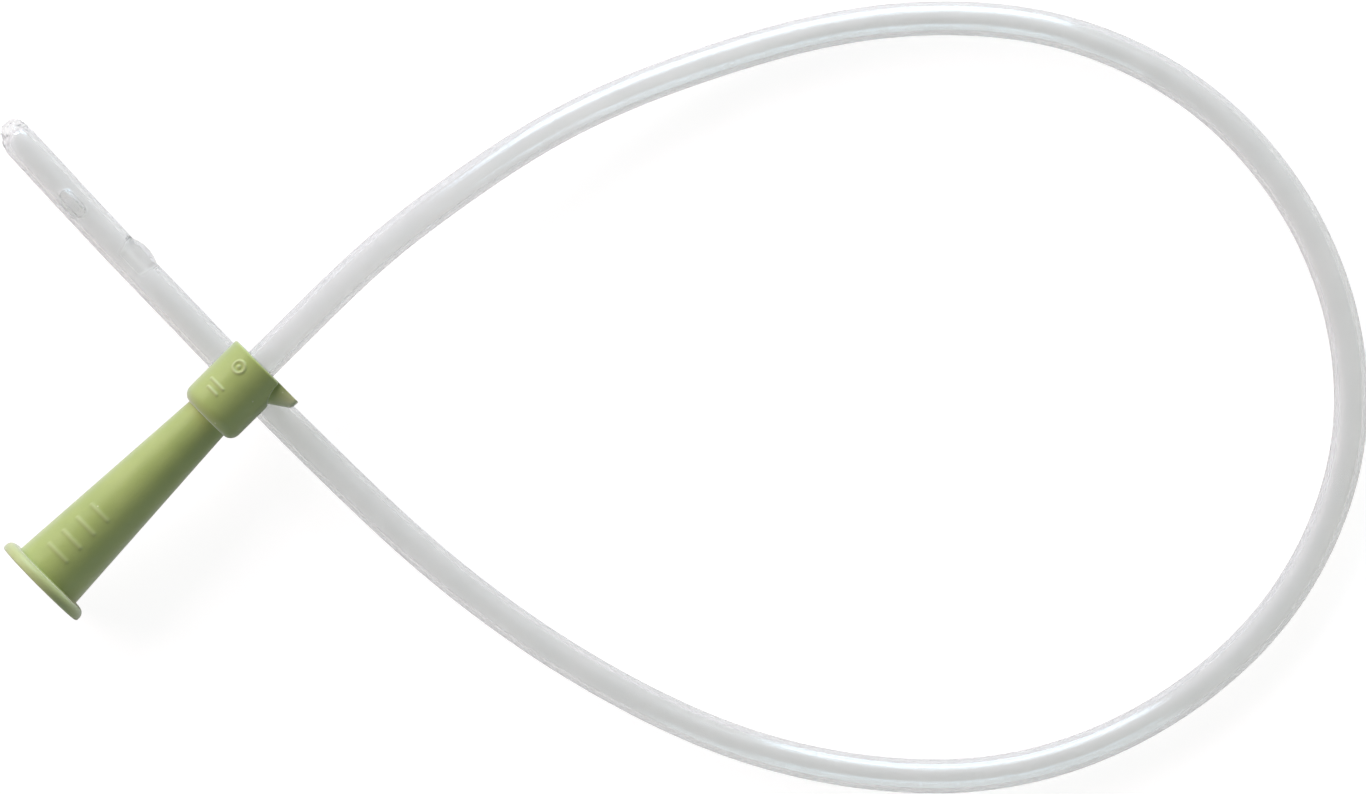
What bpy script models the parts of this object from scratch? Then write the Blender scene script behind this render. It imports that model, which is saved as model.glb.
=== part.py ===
"""Intermittent urethral catheter, size 14: a soft clear tube bonded into a green funnel connector.

The catheter lies on a table at z = 0, coiled in one open loop. The connector points along +X with
its mouth at -X, stands on the rim of its flange and leans on the tube, which crosses under its
collar. The tube leaves the collar along +X, comes down to the table, goes round the loop, passes
under the collar along +Y and ends in its closed tip. Lengths are in metres and +Z is up.
"""
import math

import bmesh
import bpy
import numpy as np
from mathutils import Matrix, Vector

# Tube: a size 14 catheter measures 14 thirds of a millimetre across
TUBE_DIAMETER = 0.00467
TUBE_BORE = 0.0032
TIP_ROUNDING = 0.0024
TIP_BLUNTNESS = 2.4
TIP_WALL = 0.0030
TUBE_STEP = 0.0065

# Drainage eyes, staggered behind the tip, each in a smooth swelling of the wall
EYE_LENGTH = 0.0042
EYE_WIDTH = 0.0013
EYE_RISE = 0.0008
EYE_LIP = 0.0008
FIRST_EYE_FROM_TIP = 0.0146
EYE_PITCH = 0.0114
EYE_TURNS = (math.radians(-15.0), math.radians(57.0))

# Connector: flanged mouth, cone, round-shouldered collar
CONNECTOR_LENGTH = 0.0424
FLANGE_DIAMETER = 0.0141
FLANGE_THICKNESS = 0.0016
FLANGE_ROUNDING = 0.0010
CONE_MOUTH_DIAMETER = 0.0105
CONE_NECK_DIAMETER = 0.0066
COLLAR_DIAMETER = 0.0094
COLLAR_LENGTH = 0.0104
SHOULDER_LENGTH = 0.0016
EDGE_ROUNDING = 0.0003

# Bore: a taper that takes a drainage adaptor, a throat, and the socket that the tube is bonded in
MOUTH_BORE = 0.0086
NECK_BORE = 0.0046
SOCKET_DEPTH = 0.0082
BOND_GAP = 0.00015
SEAT_GAP = 0.0003

# Pull ear at the collar's end face, and how deep its root is buried in the collar
EAR_REACH = 0.0025
EAR_BASE_LENGTH = 0.0031
EAR_TIP_LENGTH = 0.0012
EAR_BASE_WIDTH = 0.0058
EAR_TIP_WIDTH = 0.0048
EAR_ROUNDING = 0.0007
EAR_ROOT_SHARE = 0.6

# Where the connector lies: the centre of its mouth, and the crossing tube that it leans on
MOUTH_X = -0.0815
AXIS_Y = 0.0380
CROSSING_X = -0.0419

# The tube's way round the table from the collar's end to the tip. The third number is the
# height: 0 lies on the table and 1 is as high as the middle of the collar's end face.
ROUTE = (
    (-0.0287, 0.0380, 1.04), (-0.0155, 0.0376, 0.95), (-0.0042, 0.0362, 0.80),
    (0.0103, 0.0334, 0.55), (0.0230, 0.0293, 0.32), (0.0345, 0.0242, 0.14),
    (0.0459, 0.0181, 0.03), (0.0573, 0.0100, 0.0), (0.0648, 0.0028, 0.0),
    (0.0716, -0.0061, 0.0), (0.0767, -0.0168, 0.0), (0.0794, -0.0288, 0.0),
    (0.0791, -0.0415, 0.0), (0.0757, -0.0541, 0.0), (0.0693, -0.0655, 0.0),
    (0.0600, -0.0749, 0.0), (0.0484, -0.0812, 0.0), (0.0357, -0.0843, 0.0),
    (0.0230, -0.0842, 0.0), (0.0110, -0.0816, 0.0), (0.0004, -0.0771, 0.0),
    (-0.0088, -0.0709, 0.0), (-0.0162, -0.0637, 0.0), (-0.0222, -0.0561, 0.0),
    (-0.0290, -0.0446, 0.0), (-0.0337, -0.0331, 0.0), (-0.0372, -0.0211, 0.0),
    (-0.0398, -0.0080, 0.0), (-0.0414, 0.0073, 0.0), (-0.0418, 0.0197, 0.0),
    (-0.0419, 0.0329, 0.0), (-0.0416, 0.0479, 0.0), (-0.0413, 0.0639, 0.0),
    (-0.0409, 0.0760, 0.0), (-0.0405, 0.0865, 0.0),
)

# Facets
TURNED_STEPS = 48
ROUND_STEPS = 5
EDGE_STEPS = 3
TUBE_BEVEL_RESOLUTION = 4
EYE_STEPS = 24
EAR_STEPS = 32
TIP_SHARES = (0.35, 0.6, 0.8, 0.92, 0.985)

# The lean of the connector: its flange stands on the table and its collar on the crossing tube
TUBE_RADIUS = TUBE_DIAMETER / 2
FLANGE_RADIUS = FLANGE_DIAMETER / 2
COLLAR_RADIUS = COLLAR_DIAMETER / 2
LEAN = math.atan2(
    TUBE_DIAMETER + SEAT_GAP + COLLAR_RADIUS - FLANGE_RADIUS, CROSSING_X - MOUTH_X
)
MOUTH_Z = FLANGE_RADIUS * math.cos(LEAN)
CONNECTOR_PLACE = Matrix.Translation((MOUTH_X, AXIS_Y, MOUTH_Z)) @ Matrix.Rotation(-LEAN, 4, "Y")


def clear_scene():
    for old in list(bpy.data.objects):
        bpy.data.objects.remove(old, do_unlink=True)


def add_object(name, mesh):
    piece = bpy.data.objects.new(name, mesh)
    bpy.context.scene.collection.objects.link(piece)
    return piece


def make_cutter(piece):
    piece.hide_render = True
    piece.display_type = "WIRE"
    return piece


def plastic(name, colour, roughness, alpha=1.0):
    material = bpy.data.materials.new(name)
    material.use_nodes = True
    shader = material.node_tree.nodes["Principled BSDF"]
    shader.inputs["Base Color"].default_value = (*colour, 1.0)
    shader.inputs["Roughness"].default_value = roughness
    shader.inputs["Metallic"].default_value = 0.0
    shader.inputs["Alpha"].default_value = alpha
    return material


def combine(piece, other, operation):
    step = piece.modifiers.new(f"{operation.lower()} {other.name}", "BOOLEAN")
    step.operation = operation
    step.object = other
    step.solver = "EXACT"


def finish_round_piece(mesh, material):
    mesh.shade_smooth()
    mesh.set_sharp_from_angle(angle=math.radians(35.0))
    mesh.materials.append(material)


def quarter_round(centre, radii, start, end, steps=ROUND_STEPS):
    """Points on a quarter ellipse, as (along, out) pairs, from one angle to the other."""
    points = []
    for step in range(steps + 1):
        angle = start + (end - start) * step / steps
        points.append((centre[0] + radii[0] * math.cos(angle), centre[1] + radii[1] * math.sin(angle)))
    return points


def connector_profile():
    """Half the connector's section as (distance from the mouth, radius), once round its wall."""
    back = FLANGE_THICKNESS
    neck = CONNECTOR_LENGTH - COLLAR_LENGTH
    end = CONNECTOR_LENGTH
    socket_radius = TUBE_RADIUS + BOND_GAP
    stop = end - SOCKET_DEPTH - SEAT_GAP
    round_flange = min(FLANGE_ROUNDING, back - EDGE_ROUNDING)
    profile = [(0.0, MOUTH_BORE / 2), (0.0, FLANGE_RADIUS - EDGE_ROUNDING)]
    profile += quarter_round(
        (EDGE_ROUNDING, FLANGE_RADIUS - EDGE_ROUNDING), (EDGE_ROUNDING, EDGE_ROUNDING),
        math.radians(180.0 - 90.0 / EDGE_STEPS), math.radians(90.0), EDGE_STEPS - 1)
    profile += quarter_round(
        (back - round_flange, FLANGE_RADIUS - round_flange), (round_flange, round_flange),
        math.radians(90.0), 0.0)
    profile += [(back, CONE_MOUTH_DIAMETER / 2), (neck, CONE_NECK_DIAMETER / 2)]
    profile += quarter_round(
        (neck + SHOULDER_LENGTH, CONE_NECK_DIAMETER / 2),
        (SHOULDER_LENGTH, COLLAR_RADIUS - CONE_NECK_DIAMETER / 2),
        math.radians(180.0 - 90.0 / ROUND_STEPS), math.radians(90.0), ROUND_STEPS - 1)
    profile += quarter_round(
        (end - EDGE_ROUNDING, COLLAR_RADIUS - EDGE_ROUNDING), (EDGE_ROUNDING, EDGE_ROUNDING),
        math.radians(90.0), 0.0, EDGE_STEPS)
    profile += [(end, socket_radius), (stop, socket_radius), (stop, TUBE_BORE / 2)]
    profile += [(stop - TUBE_BORE / 2, TUBE_BORE / 2), (neck - SHOULDER_LENGTH, NECK_BORE / 2)]
    return profile


def turned_mesh(name, profile):
    """Spin a closed section about the X axis."""
    shape = bmesh.new()
    ring = [shape.verts.new((along, 0.0, out)) for along, out in profile]
    edges = [shape.edges.new((ring[i], ring[(i + 1) % len(ring)])) for i in range(len(ring))]
    bmesh.ops.spin(
        shape, geom=ring + edges, axis=(1.0, 0.0, 0.0), cent=(0.0, 0.0, 0.0),
        angle=math.tau, steps=TURNED_STEPS, use_merge=True)
    bmesh.ops.recalc_face_normals(shape, faces=shape.faces)
    mesh = bpy.data.meshes.new(name)
    shape.to_mesh(mesh)
    shape.free()
    return mesh


def ear_mesh(name):
    """The ear: half of a blunt oval cone that grows out of the collar's side towards -Y."""
    root = COLLAR_RADIUS * EAR_ROOT_SHARE
    tip = COLLAR_RADIUS + EAR_REACH
    grow = (tip - root) / EAR_REACH
    root_length = EAR_TIP_LENGTH + (EAR_BASE_LENGTH - EAR_TIP_LENGTH) * grow
    root_width = EAR_TIP_WIDTH + (EAR_BASE_WIDTH - EAR_TIP_WIDTH) * grow
    shape = bmesh.new()
    bmesh.ops.create_cone(
        shape, cap_ends=True, segments=EAR_STEPS, radius1=1.0, radius2=1.0, depth=1.0,
        matrix=Matrix.Rotation(math.pi / EAR_STEPS, 4, "Z"))
    for vert in shape.verts:
        at_tip = vert.co.z > 0.0
        half_length = EAR_TIP_LENGTH if at_tip else root_length
        half_width = (EAR_TIP_WIDTH if at_tip else root_width) / 2
        out = tip if at_tip else root
        vert.co = (CONNECTOR_LENGTH + vert.co.x * half_length, -out, vert.co.y * half_width)
    bmesh.ops.recalc_face_normals(shape, faces=shape.faces)
    rim = [edge for edge in shape.edges if all(-v.co.y > tip - EAR_ROUNDING for v in edge.verts)]
    bmesh.ops.bevel(
        shape, geom=rim, offset=EAR_ROUNDING, offset_type="OFFSET", segments=EDGE_STEPS,
        profile=0.5, affect="EDGES", material=-1, clamp_overlap=True)
    cut = bmesh.ops.bisect_plane(
        shape, geom=shape.verts[:] + shape.edges[:] + shape.faces[:],
        plane_co=(CONNECTOR_LENGTH, 0.0, 0.0), plane_no=(1.0, 0.0, 0.0), clear_outer=True)
    section = [item for item in cut["geom_cut"] if isinstance(item, bmesh.types.BMEdge)]
    bmesh.ops.contextual_create(shape, geom=section)
    bmesh.ops.recalc_face_normals(shape, faces=shape.faces)
    mesh = bpy.data.meshes.new(name)
    shape.to_mesh(mesh)
    shape.free()
    return mesh


def make_connector():
    green = plastic("olive green plastic", (0.33, 0.40, 0.13), 0.36)
    mesh = turned_mesh("funnel_connector", connector_profile())
    finish_round_piece(mesh, green)
    connector = add_object("funnel_connector", mesh)
    connector.matrix_world = CONNECTOR_PLACE
    ear = make_cutter(add_object("ear_form", ear_mesh("ear_form")))
    ear.data.materials.append(green)
    ear.matrix_world = CONNECTOR_PLACE
    combine(connector, ear, "UNION")
    return connector


def route_points():
    """The tube's middle line through the socket, the collar's end and the chosen points."""
    start = CONNECTOR_PLACE @ Vector((CONNECTOR_LENGTH - SOCKET_DEPTH, 0.0, 0.0))
    leaving = CONNECTOR_PLACE @ Vector((CONNECTOR_LENGTH, 0.0, 0.0))
    points = [start, (start + leaving) / 2, leaving]
    for x, y, lift in ROUTE:
        points.append(Vector((x, y, TUBE_RADIUS + lift * (leaving.z - TUBE_RADIUS))))
    return points


def smooth_line(points):
    """A natural cubic spline through the points: their distances along, places and bends."""
    places = np.array([tuple(point) for point in points])
    chords = np.linalg.norm(np.diff(places, axis=0), axis=1)
    along = np.concatenate([[0.0], np.cumsum(chords)])
    count = len(places)
    system = np.eye(count)
    known = np.zeros((count, 3))
    for i in range(1, count - 1):
        before, after = chords[i - 1], chords[i]
        system[i, i - 1:i + 2] = before, 2 * (before + after), after
        known[i] = 6 * ((places[i + 1] - places[i]) / after - (places[i] - places[i - 1]) / before)
    return along, places, np.linalg.solve(system, known)


def point_on(line, distance):
    """The place and the direction at a distance along the smooth line."""
    along, places, bends = line
    i = int(np.clip(np.searchsorted(along, distance) - 1, 0, len(along) - 2))
    span = along[i + 1] - along[i]
    before = (along[i + 1] - distance) / span
    after = (distance - along[i]) / span
    place = (before * places[i] + after * places[i + 1]
             + ((before ** 3 - before) * bends[i] + (after ** 3 - after) * bends[i + 1]) * span ** 2 / 6)
    heading = ((places[i + 1] - places[i]) / span
               + ((3 * after ** 2 - 1) * bends[i + 1] - (3 * before ** 2 - 1) * bends[i]) * span / 6)
    return Vector(place), Vector(heading).normalized()


def swept_mesh(name, stations, radius):
    """A round bar along stations of (place, share of the radius), closed at both ends."""
    curve = bpy.data.curves.new(name, "CURVE")
    curve.dimensions = "3D"
    curve.twist_mode = "MINIMUM"
    curve.bevel_depth = radius
    curve.bevel_resolution = TUBE_BEVEL_RESOLUTION
    curve.use_fill_caps = True
    spline = curve.splines.new("POLY")
    spline.points.add(len(stations) - 1)
    for point, (place, share) in zip(spline.points, stations):
        point.co = (*place, 1.0)
        point.radius = share
    guide = add_object(f"{name} guide", curve)
    evaluated = guide.evaluated_get(bpy.context.evaluated_depsgraph_get())
    mesh = bpy.data.meshes.new_from_object(evaluated)
    mesh.name = name
    bpy.data.objects.remove(guide, do_unlink=True)
    shape = bmesh.new()
    shape.from_mesh(mesh)
    bmesh.ops.remove_doubles(shape, verts=shape.verts, dist=1e-6)
    bmesh.ops.recalc_face_normals(shape, faces=shape.faces)
    shape.to_mesh(mesh)
    shape.free()
    return mesh


def tube_stations(line, tip):
    """Even steps along the tube, then closer ones that draw its radius in to the blunt tip."""
    straight = tip - TIP_ROUNDING
    steps = math.ceil(straight / TUBE_STEP)
    stations = [(point_on(line, straight * i / steps)[0], 1.0) for i in range(steps + 1)]
    for share in TIP_SHARES:
        stations.append((point_on(line, straight + share * TIP_ROUNDING)[0],
                         (1.0 - share ** TIP_BLUNTNESS) ** (1 / TIP_BLUNTNESS)))
    return stations


def bore_stations(line, tip):
    """The lumen, from just outside the tube's open end to the solid end of the tip."""
    first, heading = point_on(line, 0.0)
    end = tip - TIP_WALL
    steps = math.ceil(end / TUBE_STEP)
    stations = [(first - heading * TUBE_RADIUS, 1.0)]
    stations += [(point_on(line, end * i / steps)[0], 1.0) for i in range(steps + 1)]
    return stations


def eye_place(line, distance, turn):
    """A frame at an eye: X runs along the tube and Z out through the eye."""
    place, heading = point_on(line, distance)
    side = heading.cross(Vector((0.0, 0.0, 1.0))).normalized()
    up = side.cross(heading).normalized()
    out = up * math.cos(turn) + side * math.sin(turn)
    across = out.cross(heading)
    frame = Matrix((heading, across, out)).transposed().to_4x4()
    return Matrix.Translation(place) @ frame


def eye_swelling(name, place):
    """The smooth rise of the wall round an eye: a ball drawn out along the tube."""
    half_length = EYE_LENGTH / 2 + EYE_LIP
    half_width = min(EYE_WIDTH / 2 + EYE_LIP, TUBE_RADIUS)
    depth = (TUBE_RADIUS + EYE_RISE) / 2
    shape = bmesh.new()
    bmesh.ops.create_uvsphere(shape, u_segments=EYE_STEPS, v_segments=EYE_STEPS // 2, radius=1.0)
    bmesh.ops.scale(shape, vec=(half_length, half_width, depth), verts=shape.verts)
    bmesh.ops.translate(shape, vec=(0.0, 0.0, depth), verts=shape.verts)
    bmesh.ops.transform(shape, matrix=place, verts=shape.verts)
    mesh = bpy.data.meshes.new(name)
    shape.to_mesh(mesh)
    shape.free()
    return make_cutter(add_object(name, mesh))


def eye_hole(name, place):
    """The punch of an eye: a slot with round ends, from the lumen out past the swelling."""
    radius = EYE_WIDTH / 2
    reach = (EYE_LENGTH - EYE_WIDTH) / 2
    depth = TUBE_RADIUS + 2 * EYE_RISE
    shape = bmesh.new()
    bmesh.ops.create_circle(shape, cap_ends=True, radius=radius, segments=EYE_STEPS)
    for vert in shape.verts:
        vert.co.x += math.copysign(reach, vert.co.x)
    raised = bmesh.ops.extrude_face_region(shape, geom=shape.faces[:])
    lifted = [item for item in raised["geom"] if isinstance(item, bmesh.types.BMVert)]
    bmesh.ops.translate(shape, vec=(0.0, 0.0, depth), verts=lifted)
    bmesh.ops.recalc_face_normals(shape, faces=shape.faces)
    bmesh.ops.transform(shape, matrix=place, verts=shape.verts)
    mesh = bpy.data.meshes.new(name)
    shape.to_mesh(mesh)
    shape.free()
    return make_cutter(add_object(name, mesh))


def make_tube():
    clear = plastic("clear soft plastic", (0.78, 0.80, 0.80), 0.25, 0.6)
    line = smooth_line(route_points())
    tip = line[0][-1]
    mesh = swept_mesh("catheter_tube", tube_stations(line, tip), TUBE_RADIUS)
    finish_round_piece(mesh, clear)
    tube = add_object("catheter_tube", mesh)
    places = [eye_place(line, tip - FIRST_EYE_FROM_TIP - i * EYE_PITCH, turn)
              for i, turn in enumerate(EYE_TURNS)]
    for i, place in enumerate(places):
        combine(tube, eye_swelling(f"eye_swelling_{i + 1}", place), "UNION")
    bore = swept_mesh("bore_form", bore_stations(line, tip), TUBE_BORE / 2)
    combine(tube, make_cutter(add_object("bore_form", bore)), "DIFFERENCE")
    for i, place in enumerate(places):
        combine(tube, eye_hole(f"eye_hole_{i + 1}", place), "DIFFERENCE")
    return tube


clear_scene()
make_connector()
make_tube()
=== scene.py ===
# %% [markdown]
# A coiled urethral catheter, dressed for a portrait
#
# The object is an intermittent catheter: one length of clear soft tube with a closed tip and two
# eyes, bonded into a green funnel connector. The solid model already says where everything lies
# and how big it is. This file gives the same two pieces their fine surfaces, their finishes, a
# table to lie on, soft light and a camera. Each step has a few words first, then a short cell.
# All lengths are in metres, and the table is at z = 0.

# %% Load the solid model
import math

import bmesh
import bpy
import numpy as np
from mathutils import Matrix, Vector, kdtree, noise


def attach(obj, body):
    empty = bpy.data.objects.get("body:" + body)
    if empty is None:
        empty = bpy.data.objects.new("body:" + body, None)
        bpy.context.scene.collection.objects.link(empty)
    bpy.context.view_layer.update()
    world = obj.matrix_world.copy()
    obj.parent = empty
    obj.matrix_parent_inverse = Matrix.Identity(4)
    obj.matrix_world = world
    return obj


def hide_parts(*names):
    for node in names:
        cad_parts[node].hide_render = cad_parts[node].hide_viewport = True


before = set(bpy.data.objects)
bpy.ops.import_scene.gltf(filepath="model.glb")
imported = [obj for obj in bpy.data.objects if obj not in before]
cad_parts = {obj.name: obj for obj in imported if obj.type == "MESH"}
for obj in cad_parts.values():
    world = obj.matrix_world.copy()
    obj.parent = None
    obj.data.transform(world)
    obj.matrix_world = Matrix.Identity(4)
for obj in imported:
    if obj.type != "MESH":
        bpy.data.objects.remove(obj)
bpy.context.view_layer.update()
MM = 0.001
TABLE_Z = 0.0

# %% [markdown]
# The camera looks almost straight down, from far away, so that the loop shows its true outline.
# It could hang exactly above, but then the funnel would look shorter than its lean allows. A tilt
# of five degrees towards the mouth is what a tabletop stand gives. A long lens keeps the far rim
# of the loop as large as the near one. The connector's axis runs from the lower left to the upper
# right of the picture, which is why the picture's up direction is halfway between the model's X
# and Y.

# %% Camera
LOOK_AT = Vector((-0.0008, -0.0057, 0.002335))
CAMERA_DISTANCE = 1.1988
CAMERA_TILT = math.radians(5.0)
CAMERA_LENS_MM = 230.0
SENSOR_WIDTH_MM = 36.0
PICTURE_UP = Vector((1.0, 1.0, 0.0)).normalized()


def aim(thing, place, target, up):
    """Put a camera or a lamp at a place, looking at a target, with a chosen up direction."""
    forward = (target - place).normalized()
    right = forward.cross(up).normalized()
    turn = Matrix((right, right.cross(forward), -forward)).transposed()
    thing.matrix_world = Matrix.Translation(place) @ turn.to_4x4()


camera_data = bpy.data.cameras.new("table camera")
camera_data.lens = CAMERA_LENS_MM
camera_data.sensor_width = SENSOR_WIDTH_MM
camera_data.clip_start = 0.01
camera_data.clip_end = 20.0
camera = bpy.data.objects.new("table camera", camera_data)
bpy.context.scene.collection.objects.link(camera)
back = Vector((-math.sin(CAMERA_TILT), 0.0, math.cos(CAMERA_TILT)))
aim(camera, LOOK_AT + back * CAMERA_DISTANCE, LOOK_AT, PICTURE_UP)
bpy.context.scene.camera = camera
bpy.context.scene.view_settings.view_transform = "Standard"
print("camera at", camera.matrix_world.translation)

# %% [markdown]
# The tube and the connector share their sizes, so these come first. The connector stands on the
# rim of its flange and its collar leans on the tube that crosses under it. That lean follows from
# the two diameters and the place of the crossing, and is worked out instead of typed in.

# %% Sizes that both pieces share
TUBE_RADIUS = 4.67 * MM / 2
LUMEN_RADIUS = 3.2 * MM / 2
CONNECTOR_LENGTH = 42.4 * MM
FLANGE_RADIUS = 14.1 * MM / 2
COLLAR_RADIUS = 9.4 * MM / 2
COLLAR_LENGTH = 10.4 * MM
SOCKET_DEPTH = 8.2 * MM
SEAT_GAP = 0.3 * MM
MOUTH_X, AXIS_Y, CROSSING_X = -81.5 * MM, 38.0 * MM, -41.9 * MM

RISE = 2 * TUBE_RADIUS + SEAT_GAP + COLLAR_RADIUS - FLANGE_RADIUS
LEAN = math.atan2(RISE, CROSSING_X - MOUTH_X)
CONNECTOR_PLACE = (
    Matrix.Translation((MOUTH_X, AXIS_Y, FLANGE_RADIUS * math.cos(LEAN)))
    @ Matrix.Rotation(-LEAN, 4, "Y")
)
print("the connector leans", round(math.degrees(LEAN), 2), "degrees")

# %% [markdown]
# A catheter tube is springy. It leaves the collar in line with the connector, sinks to the table
# over some ninety millimetres, goes once round in an open loop, slips under the collar and runs
# out straight to its tip. The route is a short list of given points, and the third number
# says how high the tube is: 0 on the table, 1 level with the middle of the collar's end face.

# %% The tube's route
ROUTE = (
    (-0.0287, 0.0380, 1.04), (-0.0155, 0.0376, 0.95), (-0.0042, 0.0362, 0.80),
    (0.0103, 0.0334, 0.55), (0.0230, 0.0293, 0.32), (0.0345, 0.0242, 0.14),
    (0.0459, 0.0181, 0.03), (0.0573, 0.0100, 0.0), (0.0648, 0.0028, 0.0),
    (0.0716, -0.0061, 0.0), (0.0767, -0.0168, 0.0), (0.0794, -0.0288, 0.0),
    (0.0791, -0.0415, 0.0), (0.0757, -0.0541, 0.0), (0.0693, -0.0655, 0.0),
    (0.0600, -0.0749, 0.0), (0.0484, -0.0812, 0.0), (0.0357, -0.0843, 0.0),
    (0.0230, -0.0842, 0.0), (0.0110, -0.0816, 0.0), (0.0004, -0.0771, 0.0),
    (-0.0088, -0.0709, 0.0), (-0.0162, -0.0637, 0.0), (-0.0222, -0.0561, 0.0),
    (-0.0290, -0.0446, 0.0), (-0.0337, -0.0331, 0.0), (-0.0372, -0.0211, 0.0),
    (-0.0398, -0.0080, 0.0), (-0.0414, 0.0073, 0.0), (-0.0418, 0.0197, 0.0),
    (-0.0419, 0.0329, 0.0), (-0.0416, 0.0479, 0.0), (-0.0413, 0.0639, 0.0),
    (-0.0409, 0.0760, 0.0), (-0.0405, 0.0865, 0.0),
)

socket_bottom = CONNECTOR_PLACE @ Vector((CONNECTOR_LENGTH - SOCKET_DEPTH, 0.0, 0.0))
tube_exit = CONNECTOR_PLACE @ Vector((CONNECTOR_LENGTH, 0.0, 0.0))
route = [socket_bottom, (socket_bottom + tube_exit) / 2, tube_exit]
for x, y, lift in ROUTE:
    route.append(Vector((x, y, TUBE_RADIUS + lift * (tube_exit.z - TUBE_RADIUS))))
print(len(route), "route points, leaving the collar at", tube_exit)

# %% [markdown]
# Straight runs and arcs would make the tube look like bent wire. A natural cubic spline through
# the points bends as a springy tube does, with its curvature changing smoothly all the way. The
# spline needs one small system of equations for its bends, which numpy solves at once.

# %% A smooth line through the route
def smooth_line(points):
    """A natural cubic spline: distances along it, places and bends at its points."""
    places = np.array([tuple(point) for point in points])
    chords = np.linalg.norm(np.diff(places, axis=0), axis=1)
    along = np.concatenate([[0.0], np.cumsum(chords)])
    count = len(places)
    system, known = np.eye(count), np.zeros((count, 3))
    for i in range(1, count - 1):
        before, after = chords[i - 1], chords[i]
        system[i, i - 1:i + 2] = before, 2 * (before + after), after
        known[i] = 6 * ((places[i + 1] - places[i]) / after - (places[i] - places[i - 1]) / before)
    return along, places, np.linalg.solve(system, known)


def point_on(line, distance):
    """The place and the direction at a distance along the smooth line."""
    along, places, bends = line
    i = int(np.clip(np.searchsorted(along, distance) - 1, 0, len(along) - 2))
    span = along[i + 1] - along[i]
    before = (along[i + 1] - distance) / span
    after = (distance - along[i]) / span
    place = before * places[i] + after * places[i + 1]
    sway = (before ** 3 - before) * bends[i] + (after ** 3 - after) * bends[i + 1]
    heading = (places[i + 1] - places[i]) / span
    turn = (3 * after ** 2 - 1) * bends[i + 1] - (3 * before ** 2 - 1) * bends[i]
    return Vector(place + sway * span ** 2 / 6), Vector(heading + turn * span / 6).normalized()


LINE = smooth_line(route)
TIP_AT = LINE[0][-1]

# %% [markdown]
# The outer skin of the tube is a round section swept along the line. A curve object with a bevel
# does that well: its radius can shrink point by point, which draws the closed tip in to a blunt
# dome. Points lie close together where the eyes and the tip are, and wider apart elsewhere.

# %% Where the sections of the outer skin lie
EYE_LENGTH, EYE_WIDTH, EYE_RISE, EYE_LIP = 4.2 * MM, 1.2 * MM, 0.8 * MM, 0.8 * MM
EYES = (
    (TIP_AT - 14.6 * MM, math.radians(-15.0)),
    (TIP_AT - 26.0 * MM, math.radians(57.0)),
)
PLAIN_STEP, FINE_STEP = 0.9 * MM, 0.2 * MM
TIP_ROUNDING, TIP_BLUNTNESS, TIP_END_SHARE, TIP_SECTIONS = 2.4 * MM, 2.4, 0.985, 20


def skin_distances():
    """Distances along the tube for its sections, close together round the eyes."""
    straight = TIP_AT - TIP_ROUNDING
    distances = [0.0]
    while distances[-1] < straight:
        here = distances[-1]
        near_eye = any(abs(here - at) < EYE_LENGTH for at, turn in EYES)
        near_tip = straight - here < TIP_ROUNDING
        distances.append(here + (FINE_STEP if near_eye or near_tip else PLAIN_STEP))
    return [s for s in distances if s < straight - FINE_STEP] + [straight]


def skin_stations():
    """Places and radius shares: full size, then drawn in to the blunt tip."""
    stations = [(point_on(LINE, s)[0], 1.0) for s in skin_distances()]
    for step in range(1, TIP_SECTIONS + 1):
        share = TIP_END_SHARE * math.sin(math.pi / 2 * step / TIP_SECTIONS)
        radius = (1.0 - share ** TIP_BLUNTNESS) ** (1 / TIP_BLUNTNESS)
        stations.append((point_on(LINE, TIP_AT - TIP_ROUNDING * (1 - share))[0], radius))
    return stations


print(len(skin_stations()), "sections in the outer skin")

# %% [markdown]
# Every swept form goes through one helper. It makes the curve, lets Blender turn it into a mesh,
# merges the points that lie on each other at the caps and turns the faces outwards.

# %% Sweep a round section
def swept_bar(name, stations, radius, sides):
    """A closed round bar through (place, radius share) stations, as a mesh."""
    curve = bpy.data.curves.new(name, "CURVE")
    curve.dimensions = "3D"
    curve.twist_mode = "MINIMUM"
    curve.bevel_depth = radius
    curve.bevel_resolution = (sides - 4) // 2
    curve.use_fill_caps = True
    spline = curve.splines.new("POLY")
    spline.points.add(len(stations) - 1)
    for point, (place, share) in zip(spline.points, stations):
        point.co = (*place, 1.0)
        point.radius = share
    guide = bpy.data.objects.new(name + "_guide", curve)
    bpy.context.scene.collection.objects.link(guide)
    evaluated = guide.evaluated_get(bpy.context.evaluated_depsgraph_get())
    mesh = bpy.data.meshes.new_from_object(evaluated)
    bpy.data.objects.remove(guide, do_unlink=True)
    shape = bmesh.new()
    shape.from_mesh(mesh)
    bmesh.ops.remove_doubles(shape, verts=shape.verts, dist=1e-7)
    bmesh.ops.recalc_face_normals(shape, faces=shape.faces)
    shape.to_mesh(mesh)
    shape.free()
    mesh.name = name
    return mesh


def add_piece(name, mesh):
    piece = bpy.data.objects.new(name, mesh)
    bpy.context.scene.collection.objects.link(piece)
    return piece


SKIN_SIDES, LUMEN_SIDES = 64, 40
skin = swept_bar("soft_tube", skin_stations(), TUBE_RADIUS, SKIN_SIDES)
soft_tube = add_piece("soft_tube", skin)
print("outer skin", len(soft_tube.data.vertices), "points")

# %% [markdown]
# Each eye is a slot punched through one side of the wall, and its edge is then melted back into a
# smooth raised rim so that it can't scratch. The swelling is modelled by moving the skin's own
# points outwards, up to the surface of a long ball. A smooth maximum of the two surfaces leaves a
# small hollow fillet where they meet, which a plain union wouldn't have.

# %% Raise the rims of the eyes
RIM_BLEND, RIM_EDGE_STEEPNESS = 0.18 * MM, 4


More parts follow.
